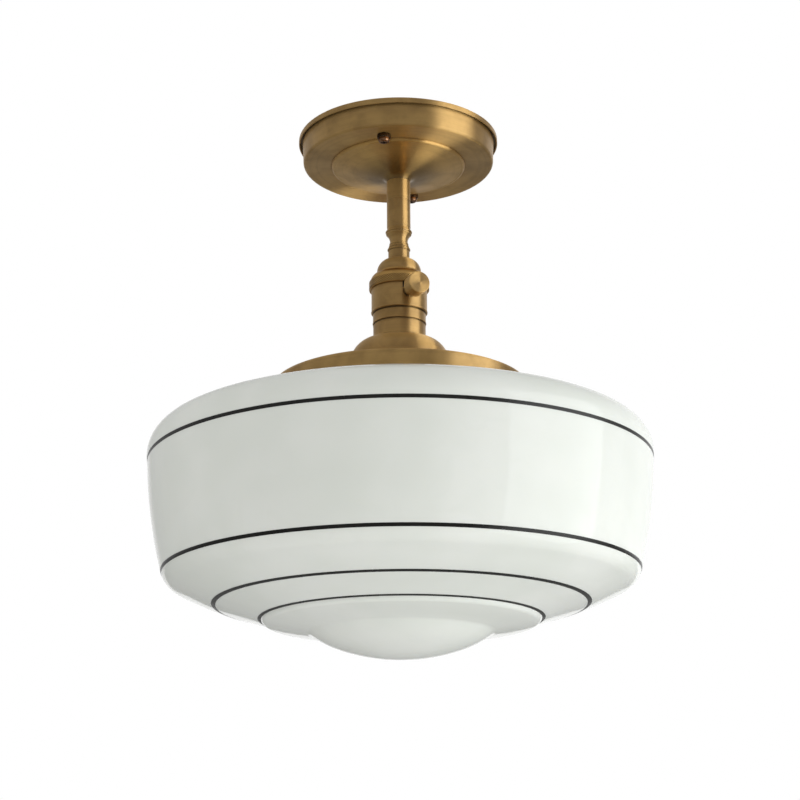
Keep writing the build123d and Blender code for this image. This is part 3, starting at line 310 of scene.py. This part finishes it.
def knurled_metal(name, body, patina, worn, roughness, wall_top, wall_low):
    """Knurled metal: the diamonds' crowns are worn bright, and patina stays in the cuts."""
    finish = Finish(name)
    place = finish.split(finish.place())
    angle = finish.sum("ARCTAN2", place["Y"], place["X"])
    around = finish.sum("MULTIPLY", angle, knurl_count / (2 * math.pi))
    drop = finish.sum("SUBTRACT", wall_top, place["Z"])
    up = finish.sum("MULTIPLY", drop, knurl_rows / (wall_top - wall_low))

    def cut(way):
        turned = finish.sum("ADD", finish.sum(way, around, up), 2 * knurl_count)
        phase = finish.sum("SUBTRACT", finish.sum("FRACT", turned), 0.5)
        return finish.sum("MULTIPLY", finish.sum("ABSOLUTE", phase), 2.0)

    deep = finish.sum("MAXIMUM", cut("ADD"), cut("SUBTRACT"))
    below_top = finish.spread(drop, -knurl_edge, knurl_edge)
    above_low = finish.spread(place["Z"], wall_low - knurl_edge, wall_low + knurl_edge)
    on_wall = finish.sum("MULTIPLY", below_top, above_low)
    clouds = finish.noise(finish.place(), 1.0 / (6 * MM), detail=4.0)
    tone = finish.mix(finish.spread(clouds, 0.35, 0.75, 0.0, 0.5), body, patina)
    crown = finish.sum("MULTIPLY", on_wall, finish.spread(deep, 0.45, 0.15, 0.0, 0.8))
    tone = finish.mix(crown, tone, worn)
    groove = finish.sum("MULTIPLY", on_wall, finish.spread(deep, 0.55, 0.92, 0.0, 0.95))
    tone = finish.mix(groove, tone, [0.08 * c for c in patina])
    rough = finish.spread(clouds, 0.3, 0.7, roughness - 0.05, roughness + 0.05)
    finish.set(Base_Color=tone, Metallic=1.0, Roughness=rough)
    return finish.material


def opal_glass(name, body, shade):
    """Blown opal glass, fire polished: glossy, a little wavy, with light scattered inside."""
    finish = Finish(name)
    drift = finish.noise(finish.place(), 1.0 / (70 * MM), detail=2.0)
    swirl = finish.noise(finish.place(), 1.0 / (18 * MM), detail=3.0, distortion=1.2)
    seeds = finish.noise(finish.place(), 1.0 / (1.2 * MM), detail=1.0)
    tone = finish.mix(finish.spread(drift, 0.35, 0.65), body, shade)
    tone = finish.mix(finish.spread(swirl, 0.45, 0.75, 0.0, 0.35), tone, shade)
    waves = finish.sum("ADD", drift, finish.sum("MULTIPLY", swirl, 0.12))
    waves = finish.sum("ADD", waves, finish.sum("MULTIPLY", finish.spread(seeds, 0.74, 0.82), 0.002))
    finish.set(Base_Color=tone, Roughness=finish.spread(swirl, 0.3, 0.7, 0.05, 0.10),
               IOR=1.5, Specular_IOR_Level=0.25, Subsurface_Weight=0.35,
               Subsurface_Radius=(1.0, 0.95, 0.85), Subsurface_Scale=5 * MM,
               Normal=finish.bump(waves, 0.35 * MM))
    return finish.material


def stripe_paint(name):
    """Fired charcoal enamel: nearly flat, with slightly thinner and thicker places along the line."""
    finish = Finish(name)
    thin = finish.noise(finish.place(), 1.0 / (9 * MM), detail=3.0)
    grain = finish.noise(finish.place(), 1.0 / (0.4 * MM), detail=2.0)
    tone = finish.mix(finish.spread(thin, 0.35, 0.7), linear(12, 12, 10), linear(20, 20, 17))
    finish.set(Base_Color=tone, Roughness=finish.spread(thin, 0.3, 0.7, 0.26, 0.34), Specular_IOR_Level=0.3,
               Normal=finish.bump(grain, 0.01 * MM))
    return finish.material


# ==== meshes ======================================================================================
def node_outline(node):
    """The loop of (radius, z) that a turned CAD piece is swept from, read along its seam at +X."""
    mesh = cad_nodes[node].data
    spots = {}
    for vertex in mesh.vertices:
        if abs(vertex.co.y) < seam_reach and vertex.co.x > 0:
            spots[vertex.index] = (round(vertex.co.x, 7), round(vertex.co.z, 7))
    steps = {}
    for edge in mesh.edges:
        a, b = edge.vertices
        if a in spots and b in spots and spots[a] != spots[b]:
            steps.setdefault(spots[a], set()).add(spots[b])
            steps.setdefault(spots[b], set()).add(spots[a])
    start = max(steps)
    ways = []
    for step in sorted(steps[start]):
        way = [start, step]
        while True:
            further = [p for p in steps[way[-1]] if p != way[-2]]
            if not further or further[0] == start:
                break
            way.append(further[0])
        if further:
            return way
        ways.append(way)
    return ways[0][:0:-1] + ways[1]


def mesh_piece(name, build, material, slot, body, *replaced):
    """Makes one piece from build(bmesh), smooth where its faces meet gently, and lets it ride."""
    sheet = bmesh.new()
    build(sheet)
    bmesh.ops.remove_doubles(sheet, verts=sheet.verts, dist=weld_distance)
    bmesh.ops.recalc_face_normals(sheet, faces=sheet.faces)
    mesh = bpy.data.meshes.new(name)
    sheet.to_mesh(mesh)
    sheet.free()
    mesh.shade_smooth()
    mesh.set_sharp_from_angle(angle=smooth_angle)
    mesh.materials.append(material)
    piece = bpy.data.objects.new(name, mesh)
    bpy.context.scene.collection.objects.link(piece)
    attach(piece, body)
    if replaced:
        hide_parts(*replaced)
    return piece


def lathe(sheet, rows, turns):
    """Sweeps rows, each a function of the angle or a plain (radius, z), into a closed turned skin."""
    rings = []
    for row in rows:
        ring = []
        for i in range(turns):
            angle = 2 * math.pi * i / turns
            radius, z = row(angle) if callable(row) else row
            ring.append(sheet.verts.new((radius * math.cos(angle), radius * math.sin(angle), z)))
        rings.append(ring)
    for upper, lower in zip(rings, rings[1:] + rings[:1]):
        for i in range(turns):
            j = (i + 1) % turns
            sheet.faces.new((upper[i], upper[j], lower[j], lower[i]))


def glass_outside():
    """The outside of the shade, from its widest place down to the middle of its underside."""
    loop = node_outline("glass_shade")
    widest = loop.index(max(loop))
    ways = (loop[widest:], loop[widest::-1])
    return min(ways, key=lambda way: way[-1][1])


def stretch(points, centre_radius, width):
    """The part of a line of points that lies within width, measured along it, round centre_radius."""
    lengths = [0.0]
    for a, b in zip(points, points[1:]):
        lengths.append(lengths[-1] + math.hypot(b[0] - a[0], b[1] - a[1]))

    def at(distance):
        for i in range(len(points) - 1):
            if lengths[i + 1] >= distance:
                share = (distance - lengths[i]) / max(1e-12, lengths[i + 1] - lengths[i])
                a, b = points[i], points[i + 1]
                return (a[0] + (b[0] - a[0]) * share, a[1] + (b[1] - a[1]) * share)
        return points[-1]

    middle = 0.0
    for i, (a, b) in enumerate(zip(points, points[1:])):
        if a[0] >= centre_radius > b[0]:
            share = (a[0] - centre_radius) / (a[0] - b[0])
            middle = lengths[i] + share * (lengths[i + 1] - lengths[i])
            break
    start = middle - width / 2
    return [at(start + width * i / stripe_steps) for i in range(stripe_steps + 1)]


# ==== pieces ======================================================================================
def paint_stripes(material):
    outside = glass_outside()
    for name, (radius, width) in stripes.items():
        line = stretch(outside, radius, width)

        def build(sheet, line=line):
            top = []
            under = []
            for i, (r, z) in enumerate(line):
                before, after = line[max(0, i - 1)], line[min(len(line) - 1, i + 1)]
                out_r, out_z = before[1] - after[1], after[0] - before[0]
                size = math.hypot(out_r, out_z)
                lift = stripe_lift if 0 < i < len(line) - 1 else 0.3 * stripe_lift
                top.append((r + lift * out_r / size, z + lift * out_z / size))
                under.append((r - stripe_lift * out_r / size, z - stripe_lift * out_z / size))
            lathe(sheet, top + under[::-1], glass_turns)

        mesh_piece(name, build, material, "opal_glass", "shade")


def blow_glass(material):
    """The shade's own outline, swept finely enough for its reflections and its painted stripes."""
    outline = node_outline("glass_shade")
    ends = [(0.0, outline[0][1]), *outline, (0.0, outline[-1][1])]

    def build(sheet):
        lathe(sheet, ends, glass_turns)

    mesh_piece("glass_shade_blown", build, material, "opal_glass", "shade", "glass_shade")


def knurl_ring(body, patina, worn):
    """The ring's own outline, with the plain wall between its shoulder and its lip cut into diamonds."""
    outline = node_outline("knurled_ring")
    wall_r = max(outline)[0]
    wall = [z for r, z in outline if r > wall_r - wall_reach]
    wall_top, wall_low = max(wall), min(wall)
    material = knurled_metal("antique_brass_knurled", body, patina, worn, 0.34, wall_top, wall_low)

    def cut(level):
        share = level / (knurl_steps_up - 1)
        z = wall_top + (wall_low - wall_top) * share
        fade = min(1.0, 6 * min(level, knurl_steps_up - 1 - level) / knurl_steps_up)

        def radius_at(angle):
            around = angle * knurl_count / (2 * math.pi)
            up = share * knurl_rows
            first = abs((around + up) % 1.0 - 0.5) * 2
            second = abs((around - up) % 1.0 - 0.5) * 2
            return wall_r - knurl_depth * fade * max(0.0, 1.6 * max(first, second) - 0.6), z
        return radius_at

    def build(sheet):
        rows = []
        for r, z in outline:
            on_wall = r > wall_r - wall_reach
            if on_wall and z == wall_top:
                rows += [cut(level) for level in range(knurl_steps_up)]
            elif not on_wall:
                rows.append((r, z))
        lathe(sheet, rows, knurl_count * knurl_steps_around)

    mesh_piece("knurled_ring_cut", build, material, "antique_brass", "fixture", "knurled_ring")


# ==== finishes for every node =====================================================================
brass_body = linear(208, 169, 105)
brass_patina = linear(164, 131, 80)
brass_worn = linear(236, 198, 136)
switch_heading = math.radians(22.0)
knob_axis = (math.sin(switch_heading), -math.cos(switch_heading), 0.0)
knob_low, knob_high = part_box("switch_knob")
knob_centre = tuple((knob_low + knob_high) / 2)

dish_painted_shade = (13 * MM, 33 * MM)   # radii between which the painted shade in the bell's dish fades
antique = turned_metal("antique_brass_turned", brass_body, brass_patina, brass_worn, 0.47)
knob_brass = turned_metal("antique_brass_knob", brass_body, brass_patina, brass_worn, 0.46,
                          centre=knob_centre, axis=knob_axis)
dish_brass = turned_metal("antique_brass_dish", linear(214, 172, 102), linear(156, 122, 70),
                          brass_worn, 0.36, dish=dish_painted_shade)
inner_brass = turned_metal("plain_brass", linear(190, 158, 96), linear(140, 112, 64),
                           linear(220, 190, 130), 0.28)
bronze = cast_finish("dark_bronze_plate", linear(150, 112, 84), linear(96, 70, 54), 0.24, 1.0)
blackened = cast_finish("blackened_plate", linear(92, 74, 58), linear(60, 48, 38), 0.30, 1.0)
zinc = cast_finish("zinc_plate", linear(172, 172, 166), linear(128, 128, 122), 0.38, 1.0)
green = cast_finish("green_lacquer", linear(40, 110, 62), linear(26, 78, 44), 0.30, 0.0)
copper = cast_finish("bare_copper", linear(190, 118, 84), linear(140, 82, 58), 0.32, 1.0)
cap_metal = cast_finish("rolled_aluminium", linear(196, 196, 194), linear(158, 158, 156), 0.30, 1.0)
solder = cast_finish("solder", linear(150, 150, 146), linear(112, 112, 110), 0.42, 1.0)
moulded = cast_finish("moulded_insulator", linear(36, 28, 24), linear(24, 19, 17), 0.42, 0.0)
paper = cast_finish("fibre_paper", linear(146, 118, 84), linear(116, 92, 62), 0.75, 0.0,
                    grain_size=0.3 * MM)
sleeve = cast_finish("lead_sleeve", linear(34, 32, 30), linear(22, 21, 20), 0.5, 0.0)
bulb_white = cast_finish("satin_bulb_glass", linear(236, 236, 230), linear(226, 226, 219), 0.32, 0.0,
                         cloud_size=20 * MM, Subsurface_Weight=0.2, Subsurface_Scale=3 * MM)
opal = opal_glass("opal_glass_fired", linear(225, 227, 221), linear(219, 222, 215))
paint = stripe_paint("charcoal_enamel")

finish_of = {
    "antique_brass": antique, "inner_brass": inner_brass, "dark_bronze": bronze, "zinc_steel": zinc,
    "green_screw": green, "copper": copper, "opal_glass": opal, "bulb_glass": bulb_white,
    "bulb_metal": cap_metal, "solder": solder, "moulded_insulator": moulded, "paper_liner": paper,
    "lead_insulation": sleeve,
}
for node in cad_nodes.values():
    for place in node.material_slots:
        place.material = finish_of[place.material.name]
cad_nodes["canopy_bell"].material_slots[0].material = dish_brass
cad_nodes["canopy_screw_washers"].material_slots[0].material = blackened
cad_nodes["switch_knob"].material_slots[0].material = knob_brass
cad_nodes["shaft_bushing"].material_slots[0].material = knob_brass

blow_glass(opal)
paint_stripes(paint)
knurl_ring(linear(190, 150, 88), linear(146, 112, 64), brass_worn)


# ==== studio ======================================================================================
def make_floor():
    half = floor_size / 2
    corners = [(x * half, y * half, floor_z) for x, y in ((-1, -1), (1, -1), (1, 1), (-1, 1))]
    mesh = bpy.data.meshes.new("floor")
    mesh.from_pydata(corners, [], [(0, 1, 2, 3)])
    finish = Finish("pale_floor")
    mottle = finish.noise(finish.place(), 3.0, detail=4.0)
    tone = finish.mix(finish.spread(mottle, 0.3, 0.7), floor_tone, [0.97 * c for c in floor_tone])
    finish.set(Base_Color=tone, Roughness=0.8)
    mesh.materials.append(finish.material)
    floor = bpy.data.objects.new("floor", mesh)
    bpy.context.scene.collection.objects.link(floor)


def make_world():
    """White to the camera. Around the object is a dim room, and a white backdrop stands behind it,
    which also shows in what reflects or lets light through."""
    world = bpy.data.worlds.new("studio")
    bpy.context.scene.world = world
    sky = Nodes(world)
    heading = sky.tree.nodes.new("ShaderNodeTexCoord").outputs["Generated"]
    backdrop_way = (math.sin(backdrop_heading), -math.cos(backdrop_heading), 0.0)
    facing = sky.vector("DOT_PRODUCT", heading, backdrop_way)
    slope = sky.split(heading)["Z"]
    behind = sky.sum("MULTIPLY", sky.spread(facing, *backdrop_edge), sky.spread(slope, *backdrop_low))

    ray = sky.tree.nodes.new("ShaderNodeLightPath").outputs
    through = sky.sum("ADD", ray["Is Glossy Ray"], ray["Is Transmission Ray"])
    white = sky.sum("ADD", ray["Is Camera Ray"], sky.sum("MULTIPLY", through, behind), clamp=True)
    room = sky.blend(sky.spread(slope, *room_slope), room_low, room_level)
    lit = sky.blend(behind, room, backdrop_level)
    background = sky.tree.nodes.new("ShaderNodeBackground")
    background.inputs["Color"].default_value = (1.0, 1.0, 1.0, 1.0)
    sky.feed(background.inputs["Strength"], sky.blend(white, lit, backdrop_level))
    output = sky.tree.nodes.new("ShaderNodeOutputWorld")
    sky.tree.links.new(background.outputs[0], output.inputs["Surface"])


def softbox(name, place, target, width, height, radiance, tint=(1.0, 1.0, 1.0)):
    """A rectangular lamp that looks as bright as radiance, where white is 1."""
    lamp = bpy.data.lights.new(name, "AREA")
    lamp.shape = "RECTANGLE"
    lamp.size = width
    lamp.size_y = height
    lamp.energy = radiance * math.pi * width * height
    lamp.color = tint
    box = bpy.data.objects.new(name, lamp)
    box.location = place
    facing = (Vector(target) - Vector(place)).to_track_quat("-Z", "Y")
    box.rotation_euler = facing.to_euler()
    bpy.context.scene.collection.objects.link(box)
    return box


def make_camera():
    lens = bpy.data.cameras.new("camera")
    lens.lens = camera_lens
    lens.sensor_width = camera_sensor
    camera = bpy.data.objects.new("camera", lens)
    upright = Matrix.Rotation(math.pi / 2 + camera_pitch, 4, "X")
    rolled = upright @ Matrix.Rotation(camera_roll, 4, "Z")
    camera.matrix_world = Matrix.Translation(camera_place) @ rolled
    bpy.context.scene.collection.objects.link(camera)
    bpy.context.scene.camera = camera


make_floor()
make_world()
key_place = (key_distance * math.sin(key_heading), -key_distance * math.cos(key_heading), key_height)
softbox("key", key_place, (0.0, 0.0, key_height), *key_size, key_radiance, key_tint)
for name, (place, size, radiance) in fills.items():
    fill = softbox(name, place, fill_aim, size, size, radiance)
    fill.visible_glossy = False    # it lights glass and floor without a streak on the brass
make_camera()
bpy.context.scene.view_settings.view_transform = "Standard"
